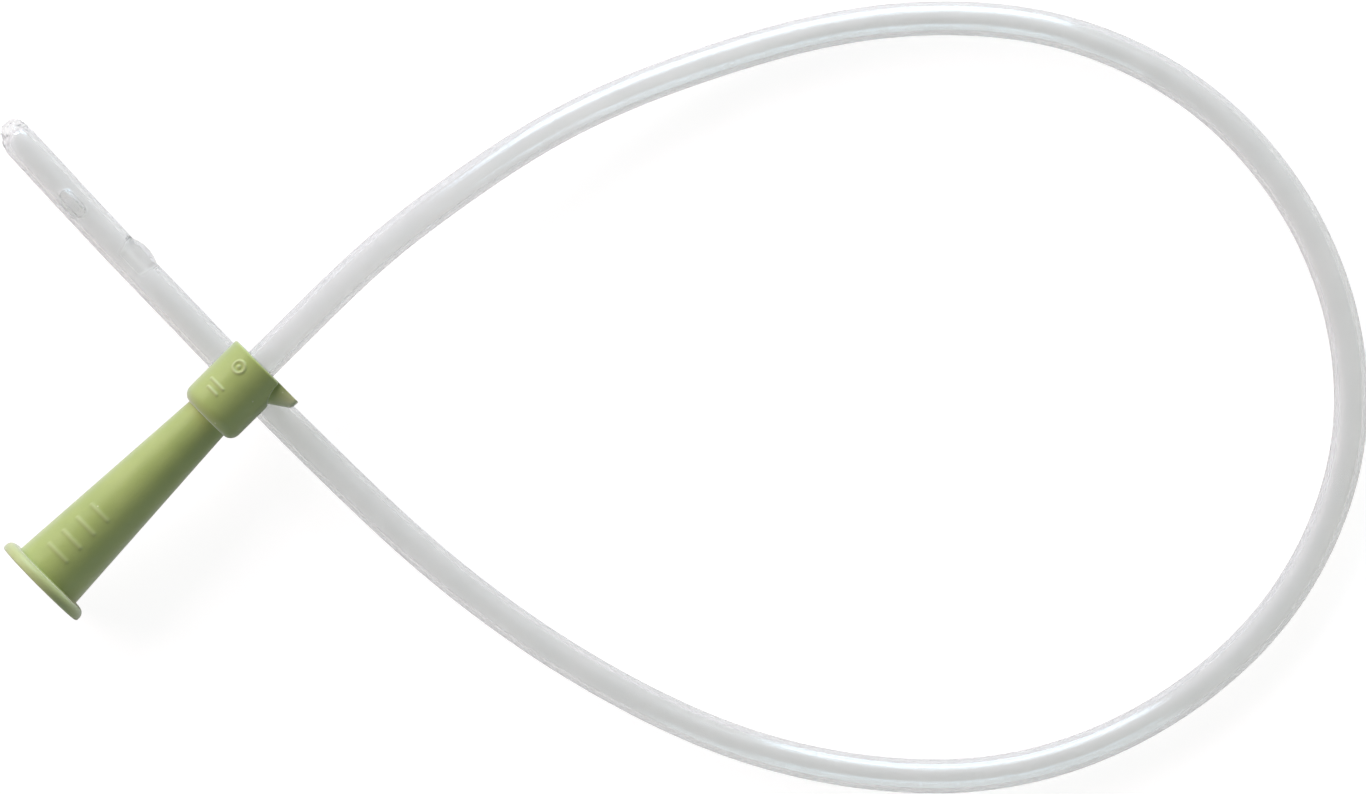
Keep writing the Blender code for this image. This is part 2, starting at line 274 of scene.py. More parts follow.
def eye_frame(distance, turn):
    """A place on the middle line with X along the tube and Z out through the eye."""
    place, heading = point_on(LINE, distance)
    side = heading.cross(Vector((0.0, 0.0, 1.0))).normalized()
    up = side.cross(heading).normalized()
    out = up * math.cos(turn) + side * math.sin(turn)
    turned = Matrix((heading, out.cross(heading), out)).transposed().to_4x4()
    return Matrix.Translation(place) @ turned


def smooth_max(a, b, blend):
    """The larger of two heights, rounded off where they are nearly equal."""
    return (a + b + np.sqrt((a - b) ** 2 + blend ** 2)) / 2


def read_points(mesh):
    points = np.zeros(len(mesh.vertices) * 3)
    mesh.vertices.foreach_get("co", points)
    return points.reshape(-1, 3)


def write_points(mesh, points):
    mesh.vertices.foreach_set("co", points.ravel())
    mesh.update()


def moved(points, matrix):
    """Many points carried by one matrix, all at once."""
    turn = np.array(matrix)
    return points @ turn[:3, :3].T + turn[:3, 3]


def raise_eye(mesh, place):
    """Lift the skin round one eye up to the top of a long ball."""
    local = moved(read_points(mesh), place.inverted())
    half_length, half_width = EYE_LENGTH / 2 + EYE_LIP, EYE_WIDTH / 2 + EYE_LIP
    middle = (TUBE_RADIUS + EYE_RISE) / 2
    reach = (local[:, 0] / half_length) ** 2 + (local[:, 1] / half_width) ** 2
    inside = (local[:, 2] > 0) & (reach < 1)
    ball = middle * (1 + np.sqrt(np.clip(1 - reach, 0, 1)))
    raised = smooth_max(local[:, 2], ball, RIM_BLEND)
    share = np.clip((1 - reach) * RIM_EDGE_STEEPNESS, 0, 1)
    local[inside, 2] += ((raised - local[:, 2]) * share)[inside]
    write_points(mesh, moved(local, place))


eye_places = [eye_frame(distance, turn) for distance, turn in EYES]
for eye_place in eye_places:
    raise_eye(soft_tube.data, eye_place)
print("raised", len(eye_places), "rims")

# %% [markdown]
# The lumen and the slots are cut with Boolean modifiers, as a drill and a punch would. The punch
# for a slot isn't straight: near the skin it flares, so the edge it leaves is already rolled over.
# It starts as a circle of points pulled apart into a slot, and is extruded level by level. Each
# level has its height above the middle line and how far the edge has flared, in millimetres.

# %% The lumen and the punched slots
TIP_WALL, LUMEN_ROUNDING = 1.4 * MM, 1.6 * MM
PUNCH_SIDES = 48
PUNCH_LEVELS = ((2.3, 0.0), (2.6, 0.01), (2.8, 0.04), (2.95, 0.09), (3.1, 0.17), (3.3, 0.3))


def combine(piece, form, operation):
    """Join a form to a piece, or take it away, for good."""
    step = piece.modifiers.new("combine", "BOOLEAN")
    step.operation, step.object, step.solver = operation, form, "EXACT"
    evaluated = piece.evaluated_get(bpy.context.evaluated_depsgraph_get())
    mesh = bpy.data.meshes.new_from_object(evaluated)
    piece.modifiers.clear()
    piece.data = mesh
    bpy.data.objects.remove(form, do_unlink=True)


def lumen_form():
    """The inside of the tube, from just outside its open end to its round end in the tip."""
    first, heading = point_on(LINE, 0.0)
    straight = TIP_AT - TIP_WALL - LUMEN_ROUNDING
    stations = [(first - heading * TUBE_RADIUS, 1.0)]
    count = round(straight / PLAIN_STEP)
    stations += [(point_on(LINE, straight * i / count)[0], 1.0) for i in range(count + 1)]
    for step in range(1, TIP_SECTIONS + 1):
        share = TIP_END_SHARE * math.sin(math.pi / 2 * step / TIP_SECTIONS)
        place = point_on(LINE, straight + LUMEN_ROUNDING * share)[0]
        stations.append((place, math.sqrt(1.0 - share ** 2)))
    return add_piece("lumen_form", swept_bar("lumen_form", stations, LUMEN_RADIUS, LUMEN_SIDES))


def punch_form(place):
    """A slot-shaped punch that flares where it passes through the skin."""
    shape = bmesh.new()
    made = bmesh.ops.create_circle(
        shape, cap_ends=True, radius=EYE_WIDTH / 2, segments=PUNCH_SIDES)
    for vert in made["verts"]:
        vert.co.x += math.copysign((EYE_LENGTH - EYE_WIDTH) / 2, vert.co.x)
    face = shape.faces[:]
    height, growth = 0.0, 0.0
    for level, flare in PUNCH_LEVELS:
        raised = bmesh.ops.extrude_face_region(shape, geom=face)
        face = [item for item in raised["geom"] if isinstance(item, bmesh.types.BMFace)]
        for item in raised["geom"]:
            if isinstance(item, bmesh.types.BMVert):
                core = Vector((math.copysign((EYE_LENGTH - EYE_WIDTH) / 2, item.co.x), 0.0, 0.0))
                outward = Vector((item.co.x - core.x, item.co.y, 0.0)).normalized()
                item.co += outward * (flare - growth) * MM
                item.co.z += level * MM - height
        height, growth = level * MM, flare
    bmesh.ops.recalc_face_normals(shape, faces=shape.faces)
    bmesh.ops.transform(shape, matrix=place, verts=shape.verts)
    mesh = bpy.data.meshes.new("punch_form")
    shape.to_mesh(mesh)
    shape.free()
    return add_piece("punch_form", mesh)


combine(soft_tube, lumen_form(), "DIFFERENCE")
for eye_place in eye_places:
    combine(soft_tube, punch_form(eye_place), "DIFFERENCE")
print("tube with its lumen and eyes", len(soft_tube.data.polygons), "faces")

# %% [markdown]
# The tip is sealed in a hot mould and comes out lumpy, and narrower on one side, where the soft
# plastic sagged. First the points on that side are drawn in, more so towards the end. Then two
# low noises, a coarse and a fine one, push all points near the end in a little. Each has the size
# of its lumps and their depth. The noise comes from mathutils, which gives the same values on
# every run.

# %% A lumpy tip
LUMP_LENGTH, LUMP_FADE = 3.6 * MM, 1.6
LUMPS = ((1.7 * MM, 0.65 * MM), (0.8 * MM, 0.22 * MM))
SAG_LENGTH, SAG_SHARE, SAG_SIDE = 3.2 * MM, 0.35, Vector((-1.0, 0.0, 0.0))
tip_place, tip_heading = point_on(LINE, TIP_AT)
dome_middle = tip_place - tip_heading * TIP_ROUNDING
for vert in soft_tube.data.vertices:
    behind = (tip_place - vert.co).dot(tip_heading)
    if behind < LUMP_LENGTH and (vert.co - tip_place).length < 2 * LUMP_LENGTH:
        side = (vert.co - dome_middle).dot(SAG_SIDE)
        near_end = min(1.0, max(0.0, 1.0 - behind / SAG_LENGTH))
        vert.co -= SAG_SIDE * max(0.0, side) * SAG_SHARE * near_end
        fade = min(1.0, (LUMP_LENGTH - behind) / LUMP_LENGTH * LUMP_FADE)
        lump = sum(abs(noise.noise(vert.co / size)) * depth for size, depth in LUMPS)
        vert.co += (dome_middle - vert.co).normalized() * lump * fade
soft_tube.data.update()
print("tip lies at", tip_place)

# %% [markdown]
# Patterns on the tube, such as the fine draw lines from the extruder, follow it round the loop. A
# texture needs to know where a point is along and around the tube, so this is worked out once for
# each point and kept on the mesh as a vector: distance along, then the two offsets from the
# middle line. A vector has no seam where the tube closes on itself, as an angle would. A second
# value says how far each point was melted, in the hot mould at the tip or at the rim of an eye,
# because plastic that was melted and cooled again turns cloudy. Each eye has its own amount and
# half width, because the two rims were melted unevenly, and a noise makes the edge of the cloudy
# cap ragged.

# %% Keep each point's place along and around the tube
SAMPLE_STEP = 0.4 * MM
CAP_LENGTH, CAP_RAGGEDNESS, CAP_FADE = 1.7 * MM, 1.1 * MM, 0.5 * MM
RIMS_MELTED = ((0.5, 1.4 * MM), (1.0, 4.0 * MM))
RIM_REACH, RIM_FADE = 1.3, 1.4


def store_tube_place(piece):
    """Find each point's nearest sample of the middle line, and its offsets from there."""
    samples = [point_on(LINE, s) for s in np.arange(0.0, TIP_AT, SAMPLE_STEP)]
    tree = kdtree.KDTree(len(samples))
    for i, (place, heading) in enumerate(samples):
        tree.insert(place, i)
    tree.balance()
    values = []
    for vert in piece.data.vertices:
        i = tree.find(vert.co)[1]
        place, heading = samples[i]
        side = heading.cross(Vector((0.0, 0.0, 1.0))).normalized()
        up = side.cross(heading)
        offset = vert.co - place
        values += (i * SAMPLE_STEP + offset.dot(heading), offset.dot(side), offset.dot(up))
    attribute = piece.data.attributes.new("tube_place", "FLOAT_VECTOR", "POINT")
    attribute.data.foreach_set("vector", values)


def store_melted(piece):
    """How far the skin was melted: fully on the sealed cap, by its own amount round each eye."""
    points = read_points(piece.data)
    behind = np.array([(tip_place - Vector(point)).dot(tip_heading) for point in points])
    ragged = np.array([noise.noise(Vector(point) / CAP_RAGGEDNESS) for point in points])
    near_tip = np.linalg.norm(points - np.array(tip_place), axis=1) < 3 * CAP_LENGTH
    edge = CAP_LENGTH * (1 + ragged)
    melted = np.clip((edge - behind) / CAP_FADE, 0, 1) * near_tip
    for place, (amount, half_width) in zip(eye_places, RIMS_MELTED):
        local = moved(points, place.inverted())
        along = local[:, 0] / (EYE_LENGTH / 2 + EYE_LIP)
        across = local[:, 1] / half_width
        rim = np.clip((RIM_REACH - along ** 2 - across ** 2) * RIM_FADE, 0, 1)
        melted = np.maximum(melted, amount * rim * (local[:, 2] > LUMEN_RADIUS / 3))
    attribute = piece.data.attributes.new("melted", "FLOAT", "POINT")
    attribute.data.foreach_set("value", melted)


store_tube_place(soft_tube)
store_melted(soft_tube)
print("tube places kept on", len(soft_tube.data.vertices), "points")

# %% [markdown]
# The tube is smoothed, keeping its sharp edges. It rides on the object's only body and stands for
# the plain tube of the solid model, which is hidden.

SHARP_ANGLE = math.radians(38.0)
soft_tube.data.shade_smooth()
soft_tube.data.set_sharp_from_angle(angle=SHARP_ANGLE)
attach(soft_tube, "root")
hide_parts("catheter_tube")
print("declared", soft_tube.name)

# %% [markdown]
# The connector is injection moulded, and nearly all of it is turned about one axis: flange, cone,
# collar and the bore inside. So its section is drawn once, as pairs of distance from the mouth
# and radius, and spun. Rounded corners are short arcs. Where small marks will be raised later the
# section gets many closely spaced points, because only points that exist can be moved.

# %% The connector's section
FLANGE_THICKNESS, FLANGE_ROUNDING = 1.6 * MM, 1.0 * MM
CONE_MOUTH_RADIUS, CONE_NECK_RADIUS = 10.5 * MM / 2, 6.6 * MM / 2
SHOULDER_LENGTH, EDGE_ROUNDING = 1.6 * MM, 0.3 * MM
LIP_ROUNDING, FLANGE_CORNER = 0.25 * MM, 0.15 * MM
CONE_STEP, COLLAR_STEP, BORE_STEP = 0.2 * MM, 0.12 * MM, 2 * MM
MOUTH_BORE_RADIUS, NECK_BORE_RADIUS = 8.6 * MM / 2, 4.6 * MM / 2
BOND_GAP = 0.02 * MM
NECK_AT = CONNECTOR_LENGTH - COLLAR_LENGTH


def arc(centre, radii, start_degrees, end_degrees, steps):
    """Points on part of an ellipse, as (along, radius) pairs."""
    angles = np.radians(np.linspace(start_degrees, end_degrees, steps + 1))
    along = centre[0] + radii[0] * np.cos(angles)
    out = centre[1] + radii[1] * np.sin(angles)
    return list(zip(along.tolist(), out.tolist()))


def run(start, end, step):
    """Points inside a straight run, about a step apart, without its ends."""
    count = max(1, round(math.dist(start, end) / step))
    return [tuple(np.array(start) + (np.array(end) - np.array(start)) * i / count)
            for i in range(1, count)]


def outer_section():
    """From the mouth's inner edge over the flange, cone and collar to the end face."""
    edge, back, lip = EDGE_ROUNDING, FLANGE_THICKNESS, LIP_ROUNDING
    points = arc((lip, MOUTH_BORE_RADIUS + lip), (lip, lip), 270, 180, 4)
    points += [(0.0, FLANGE_RADIUS - edge)]
    points += arc((edge, FLANGE_RADIUS - edge), (edge, edge), 165, 90, 5)
    points += arc((back - FLANGE_ROUNDING, FLANGE_RADIUS - FLANGE_ROUNDING),
                  (FLANGE_ROUNDING, FLANGE_ROUNDING), 90, 0, 12)
    points += [(back, CONE_MOUTH_RADIUS + FLANGE_CORNER)]
    start, neck = (back + FLANGE_CORNER, CONE_MOUTH_RADIUS), (NECK_AT, CONE_NECK_RADIUS)
    points += [start] + run(start, neck, CONE_STEP) + [neck]
    points += arc((NECK_AT + SHOULDER_LENGTH, CONE_NECK_RADIUS),
                  (SHOULDER_LENGTH, COLLAR_RADIUS - CONE_NECK_RADIUS), 172, 90, 12)
    collar, end = (NECK_AT + SHOULDER_LENGTH, COLLAR_RADIUS), CONNECTOR_LENGTH
    points += run(collar, (end - edge, COLLAR_RADIUS), COLLAR_STEP)
    points += arc((end - edge, COLLAR_RADIUS - edge), (edge, edge), 90, 0, 6)
    return points


def inner_section():
    """Back from the end face through the socket, the throat and the tapered bore."""
    socket_radius = TUBE_RADIUS + BOND_GAP
    stop = CONNECTOR_LENGTH - SOCKET_DEPTH - SEAT_GAP
    throat = (stop - LUMEN_RADIUS, LUMEN_RADIUS)
    taper = (NECK_AT - SHOULDER_LENGTH, NECK_BORE_RADIUS)
    return [(CONNECTOR_LENGTH, socket_radius), (stop, socket_radius), (stop, LUMEN_RADIUS),
            throat, taper] + run(taper, (LIP_ROUNDING, MOUTH_BORE_RADIUS), BORE_STEP)


section = outer_section() + inner_section()
print("section of", len(section), "points")

# %% [markdown]
# Spin makes the whole turned shape in one call. Its last step is merged with its first, and the
# normals are turned outwards afterwards because a spin may come out inside out.

# %% Spin the connector
SPIN_STEPS = 240


def spin_section(name, section):
    """A closed turned mesh round the X axis."""
    shape = bmesh.new()
    ring = [shape.verts.new((along, 0.0, radius)) for along, radius in section]
    edges = [shape.edges.new((a, b)) for a, b in zip(ring, ring[1:] + ring[:1])]
    bmesh.ops.spin(
        shape, geom=ring + edges, axis=(1.0, 0.0, 0.0), cent=(0.0, 0.0, 0.0),
        angle=math.tau, steps=SPIN_STEPS, use_merge=True)
    bmesh.ops.remove_doubles(shape, verts=shape.verts, dist=1e-8)
    bmesh.ops.recalc_face_normals(shape, faces=shape.faces)
    mesh = bpy.data.meshes.new(name)
    shape.to_mesh(mesh)
    shape.free()
    return mesh


green_funnel = add_piece("green_funnel", spin_section("green_funnel", section))
print("turned connector", len(green_funnel.data.polygons), "faces")

# %% [markdown]
# A small pull ear grows out of the collar, flush with its end face. It is a thick lobe: an oval
# cone with a blunt rounded end, of which the end face's plane takes one half away. A Boolean union
# joins it on, and the crease where the two meet stays crisp, as a mould leaves it. Edges that
# are sharp get marked here, before any marks are raised on the smooth skin.

# %% The pull ear
EAR_REACH, EAR_ROUNDING, EAR_ROOT_SHARE = 2.5 * MM, 0.8 * MM, 0.6
EAR_BASE_LENGTH, EAR_TIP_LENGTH = 3.1 * MM, 1.2 * MM
EAR_BASE_WIDTH, EAR_TIP_WIDTH = 5.4 * MM, 5.4 * MM
EAR_SIDES, EAR_ROUND_STEPS = 96, 8


def ear_form():
    """Half of a blunt oval cone that grows out towards -Y."""
    root, tip = COLLAR_RADIUS * EAR_ROOT_SHARE, COLLAR_RADIUS + EAR_REACH
    grown = (tip - root) / EAR_REACH
    root_length = EAR_TIP_LENGTH + (EAR_BASE_LENGTH - EAR_TIP_LENGTH) * grown
    root_width = EAR_TIP_WIDTH + (EAR_BASE_WIDTH - EAR_TIP_WIDTH) * grown
    shape = bmesh.new()
    bmesh.ops.create_cone(
        shape, cap_ends=True, segments=EAR_SIDES, radius1=1.0, radius2=1.0, depth=1.0,
        matrix=Matrix.Rotation(math.pi / EAR_SIDES, 4, "Z"))
    for vert in shape.verts:
        at_tip = vert.co.z > 0.0
        half_length = EAR_TIP_LENGTH if at_tip else root_length
        half_width = (EAR_TIP_WIDTH if at_tip else root_width) / 2
        out = tip if at_tip else root
        vert.co = (CONNECTOR_LENGTH + vert.co.x * half_length, -out, vert.co.y * half_width)
    bmesh.ops.recalc_face_normals(shape, faces=shape.faces)
    rim = [edge for edge in shape.edges if all(-v.co.y > tip - EAR_ROUNDING for v in edge.verts)]
    bmesh.ops.bevel(
        shape, geom=rim, offset=EAR_ROUNDING, offset_type="OFFSET", segments=EAR_ROUND_STEPS,
        profile=0.5, affect="EDGES", material=-1, clamp_overlap=True)
    cut = bmesh.ops.bisect_plane(
        shape, geom=shape.verts[:] + shape.edges[:] + shape.faces[:],
        plane_co=(CONNECTOR_LENGTH, 0.0, 0.0), plane_no=(1.0, 0.0, 0.0), clear_outer=True)
    edges = [item for item in cut["geom_cut"] if isinstance(item, bmesh.types.BMEdge)]
    bmesh.ops.contextual_create(shape, geom=edges)
    bmesh.ops.bevel(
        shape, geom=edges, offset=EDGE_ROUNDING, offset_type="OFFSET", segments=4,
        profile=0.5, affect="EDGES", material=-1, clamp_overlap=True)
    bmesh.ops.recalc_face_normals(shape, faces=shape.faces)
    mesh = bpy.data.meshes.new("ear_form")
    shape.to_mesh(mesh)
    shape.free()
    return add_piece("ear_form", mesh)


combine(green_funnel, ear_form(), "UNION")
green_funnel.data.shade_smooth()
green_funnel.data.set_sharp_from_angle(angle=SHARP_ANGLE)
ear_end = -min(read_points(green_funnel.data)[:, 1])
print("ear reaches", round(ear_end / MM, 2), "mm from the axis")

# %% [markdown]
# Raised marks help a nurse to hold and read a connector by touch. The collar has two short bars
# and a small ring with a pip, and the cone a row of plain grip ribs. A mark's place is its
# distance from the mouth, and its turns are degrees round the axis. Each mark is a low ridge: the
# skin is lifted where a point is close to the mark's middle line. In the same way the skin is
# pressed in a little round the root of the ear. A paleness is kept for each point too, so that the
# finish can make it a little paler: on a raised mark, where the plastic is thin, on the flange's
# rim, and on the ear, where it is painted light that makes the ear look lit.

# %% Raise the marks
MARK_HEIGHT, BAR_WIDTH, RIB_WIDTH, RIB_HEIGHT = 0.15 * MM, 0.66 * MM, 0.9 * MM, 0.11 * MM
BARS = ((36.4 * MM, 13, 44), (35.3 * MM, 14, 36))
RING_AT, RING_TURN, RING_RADIUS, PIP_RADIUS = 40.1 * MM, 21, 0.85 * MM, 0.06 * MM
RIB_PLACES = [(5.0 + 2.6 * i) * MM for i in range(4)]
RIB_TURNS = (-6, 34)
# The ear's paleness is painted light: it makes the ear look lit though the collar shades it. The
# flange's rim is made paler too.
RAISED_THINNESS, FLANGE_PALENESS, EAR_PAINTED_LIGHT = 0.4, 0.35, 0.85
GROOVE_DEPTH, GROOVE_SPREAD = 0.22 * MM, 0.3


def ridge(distance, width):
    """A rounded ridge: one on its middle line and zero half a width away."""
    return np.cos(np.clip(np.abs(distance) / width, 0, 0.5) * math.pi) ** 2


def bar_distance(along, turn, radius, place, first_turn, last_turn):
    """The distance to a bar that runs round the skin between two turns, in degrees."""
    beyond = turn - np.clip(turn, math.radians(first_turn), math.radians(last_turn))
    return np.hypot(along - place, beyond * radius)


def press_groove(points):
    """Press the skin in where the ear grows out of the collar, as a mould's parting edge does."""
    out = np.clip(-points[:, 1], COLLAR_RADIUS * EAR_ROOT_SHARE, COLLAR_RADIUS + EAR_REACH)
    grown = (COLLAR_RADIUS + EAR_REACH - out) / EAR_REACH
    half_length = EAR_TIP_LENGTH + (EAR_BASE_LENGTH - EAR_TIP_LENGTH) * grown
    half_width = (EAR_TIP_WIDTH + (EAR_BASE_WIDTH - EAR_TIP_WIDTH) * grown) / 2
    oval = np.hypot((points[:, 0] - CONNECTOR_LENGTH) / half_length, points[:, 2] / half_width)
    radius = np.hypot(points[:, 1], points[:, 2])
    near = (points[:, 1] < 0) & (radius > COLLAR_RADIUS - EDGE_ROUNDING)
    low = np.clip(1 - (radius - COLLAR_RADIUS) / EAR_ROUNDING, 0, 1)
    pressed = GROOVE_DEPTH * ridge((oval - 1) / GROOVE_SPREAD, 1.0) * near * low
    points[:, 1:] *= (1 - pressed / radius)[:, None]


def raise_marks(mesh):
    """Press the groove, lift the bars, ribs and ring, and keep each point's paleness and painted
    light.
    """
    points = read_points(mesh)
    press_groove(points)
    along, radius = points[:, 0], np.hypot(points[:, 1], points[:, 2])
    turn = np.arctan2(points[:, 1], points[:, 2])
    cone = CONE_MOUTH_RADIUS + (CONE_NECK_RADIUS - CONE_MOUTH_RADIUS) * along / NECK_AT
    outside = radius > cone - EDGE_ROUNDING
    lift = np.zeros(len(points))
    for place, first_turn, last_turn in BARS:
        distance = bar_distance(along, turn, radius, place, first_turn, last_turn)
        lift = np.maximum(lift, MARK_HEIGHT * ridge(distance, BAR_WIDTH))
    for place in RIB_PLACES:
        distance = bar_distance(along, turn, radius, place, *RIB_TURNS)
        lift = np.maximum(lift, RIB_HEIGHT * ridge(distance, RIB_WIDTH))
    from_middle = np.hypot(along - RING_AT, (turn - math.radians(RING_TURN)) * radius)
    lift = np.maximum(lift, MARK_HEIGHT * ridge(from_middle - RING_RADIUS, BAR_WIDTH))
    from_pip = np.clip(from_middle - PIP_RADIUS, 0, None)
    lift = np.maximum(lift, MARK_HEIGHT * ridge(from_pip, BAR_WIDTH))
    lift[~outside] = 0
    points[:, 1:] *= (1 + lift / radius)[:, None]
    write_points(mesh, points)
    # Paleness: thin plastic on the marks, a paler flange rim, and painted light on the ear.
    flange = np.clip((radius - CONE_MOUTH_RADIUS) / FLANGE_ROUNDING, 0, 1)
    ear = np.clip((radius - COLLAR_RADIUS) / EAR_ROUNDING, 0, 1)
    edges = FLANGE_PALENESS * flange * (along < FLANGE_THICKNESS)
    edges += EAR_PAINTED_LIGHT * ear * (along > NECK_AT)
    paleness_and_painted_light = np.maximum(RAISED_THINNESS * lift / MARK_HEIGHT, edges)
    attribute = mesh.attributes.new("paleness_and_painted_light", "FLOAT", "POINT")
    attribute.data.foreach_set("value", paleness_and_painted_light)


raise_marks(green_funnel.data)
green_funnel.data.transform(CONNECTOR_PLACE)
print("marks raised, connector placed")

# %% [markdown]
# The connector rides on the same body as the tube, and takes the plain connector's place.

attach(green_funnel, "root")
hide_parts("funnel_connector")
print("declared", green_funnel.name)

# %% [markdown]
# Both plastics share three effects, so each is a node group built once: a slow mottle, since no
# moulded or drawn plastic is of one even tone, a fine grain in the surface, and a few specks of
# lint. The groups only put out values. The shader stays in the material itself.

# %% Helpers for node trees
def new_group(name, inputs, output):
    """An empty shader group with float or vector inputs and one float output."""
    group = bpy.data.node_groups.new(name, "ShaderNodeTree")
    for label, kind, value in inputs:
        socket = group.interface.new_socket(label, in_out="INPUT", socket_type="NodeSocket" + kind)
        if kind == "Float":
            socket.default_value = value
    group.interface.new_socket(output, in_out="OUTPUT", socket_type="NodeSocketFloat")
    start, end = group.nodes.new("NodeGroupInput"), group.nodes.new("NodeGroupOutput")
    return group, start, end


def node(tree, kind, values=None, **settings):
    """Add a node, set its properties and type values into its inputs."""
    made = tree.nodes.new("ShaderNode" + kind)
    for key, value in settings.items():
        setattr(made, key, value)
    for key, value in (values or {}).items():
        made.inputs[key].default_value = value
    return made


def wire(tree, source, target):
    tree.links.new(source, target)


print("node helpers ready")

# %% [markdown]
# The mottle is a soft noise stretched between two levels. The grain is a finer noise that drives
# a bump. The specks are the rare peaks of a cell pattern.

# %% The three shared groups
def build_mottle():
    group, start, end = new_group(
        "slow_mottle",
        [("Place", "Vector", None), ("Scale", "Float", 100.0),
         ("Low", "Float", 0.0), ("High", "Float", 1.0)], "Value")
    cloud = node(group, "TexNoise", {"Detail": 3.0, "Roughness": 0.55})
    spread = node(group, "MapRange", {"From Min": 0.3, "From Max": 0.7})
    wire(group, start.outputs["Place"], cloud.inputs["Vector"])
    wire(group, start.outputs["Scale"], cloud.inputs["Scale"])
    wire(group, cloud.outputs["Fac"], spread.inputs["Value"])
    wire(group, start.outputs["Low"], spread.inputs["To Min"])
    wire(group, start.outputs["High"], spread.inputs["To Max"])
    wire(group, spread.outputs["Result"], end.inputs["Value"])
    return group


def build_grain():
    group, start, end = new_group(
        "fine_grain",
        [("Place", "Vector", None), ("Scale", "Float", 4000.0), ("Depth", "Float", 1.0)], "Height")
    noise_node = node(group, "TexNoise", {"Detail": 2.0, "Roughness": 0.6})
    deepen = node(group, "Math", operation="MULTIPLY")
    wire(group, start.outputs["Place"], noise_node.inputs["Vector"])
    wire(group, start.outputs["Scale"], noise_node.inputs["Scale"])
    wire(group, noise_node.outputs["Fac"], deepen.inputs[0])
    wire(group, start.outputs["Depth"], deepen.inputs[1])
    wire(group, deepen.outputs["Value"], end.inputs["Height"])
    return group


def build_specks():
    group, start, end = new_group(
        "lint_specks",
        [("Place", "Vector", None), ("Scale", "Float", 300.0), ("Size", "Float", 0.12)], "Mask")
    cells = node(group, "TexVoronoi", {"Randomness": 1.0})
    small = node(group, "Math", operation="LESS_THAN")
    wire(group, start.outputs["Place"], cells.inputs["Vector"])
    wire(group, start.outputs["Scale"], cells.inputs["Scale"])
    wire(group, cells.outputs["Distance"], small.inputs[0])
    wire(group, start.outputs["Size"], small.inputs[1])
    wire(group, small.outputs["Value"], end.inputs["Mask"])
    return group


MOTTLE, GRAIN, SPECKS = build_mottle(), build_grain(), build_specks()


def use_group(tree, group, place, **values):
    """Put a shared group into a material, reading the given place vector."""
    made = node(tree, "Group", node_tree=group)
    for label, value in values.items():
        made.inputs[label].default_value = value
    wire(tree, place, made.inputs["Place"])
    return made.outputs[0]


def new_material(name):
    material = bpy.data.materials.new(name)
    material.use_nodes = True
    tree = material.node_tree
    return material, tree, tree.nodes["Principled BSDF"]


print("shared groups", [group.name for group in (MOTTLE, GRAIN, SPECKS)])

# %% [markdown]
# The tube is soft PVC: clear, but a little milky beside glass. Most of the light goes through and
# a small share scatters in the body, so on a white table the tube reads as a pale grey. Its two
# bright bands are mirror images of the window lamp, one in the skin and one in the far wall of
# the lumen, and a smooth lumen keeps the second one crisp. Where the plastic was melted it is
# rough, and partly see-through as a thin cloudy film is. Draw lines from the extruder run along
# the tube, so their noise is stretched along the stored tube place.

# %% Clear soft tube finish
TUBE_PALE, TUBE_DEEP = (0.97, 0.97, 0.96, 1.0), (0.945, 0.95, 0.94, 1.0)
LINT_COLOUR = (0.93, 0.94, 0.96, 1.0)
TUBE_TRANSMISSION, TUBE_IOR = 0.88, 1.56
LUMEN_ROUGHNESS, MELTED_ROUGHNESS, MELTED_ALPHA = 0.04, 0.35, 0.3
WALL_MARGIN = 0.3 * MM
DRAWN_OUT, DRAW_LINE_DEPTH = (0.04, 1.0, 1.0), 0.01 * MM


def mix_colours(tree, factor, first, second):
    """Blend two colours, each of them typed in or coming from another node."""
    mix = node(tree, "Mix", data_type="RGBA")
    wire(tree, factor, mix.inputs["Factor"])
    for socket, value in ((mix.inputs[6], first), (mix.inputs[7], second)):
        if isinstance(value, tuple):
            socket.default_value = value
        else:
            wire(tree, value, socket)
    return mix.outputs[2]


def tube_roughness(tree, place, melted):
    """Smooth inside the lumen, faintly satin on the skin, frosted where it was melted."""
    skin = use_group(tree, MOTTLE, place, Scale=400.0, Low=0.1, High=0.15)
    offsets = node(tree, "SeparateXYZ")
    wire(tree, place, offsets.inputs["Vector"])
    flat = node(tree, "CombineXYZ")
    wire(tree, offsets.outputs["Y"], flat.inputs["Y"])
    wire(tree, offsets.outputs["Z"], flat.inputs["Z"])
    from_middle = node(tree, "VectorMath", operation="LENGTH")
    wire(tree, flat.outputs["Vector"], from_middle.inputs[0])
    outside = node(tree, "MapRange", {
        "From Min": LUMEN_RADIUS + WALL_MARGIN, "From Max": TUBE_RADIUS - WALL_MARGIN,
        "To Min": LUMEN_ROUGHNESS})
    wire(tree, from_middle.outputs["Value"], outside.inputs["Value"])
    wire(tree, skin, outside.inputs["To Max"])
    frosted = node(tree, "MapRange", {"To Max": MELTED_ROUGHNESS})
    wire(tree, melted, frosted.inputs["Value"])
    wire(tree, outside.outputs["Result"], frosted.inputs["To Min"])
    return frosted.outputs["Result"]


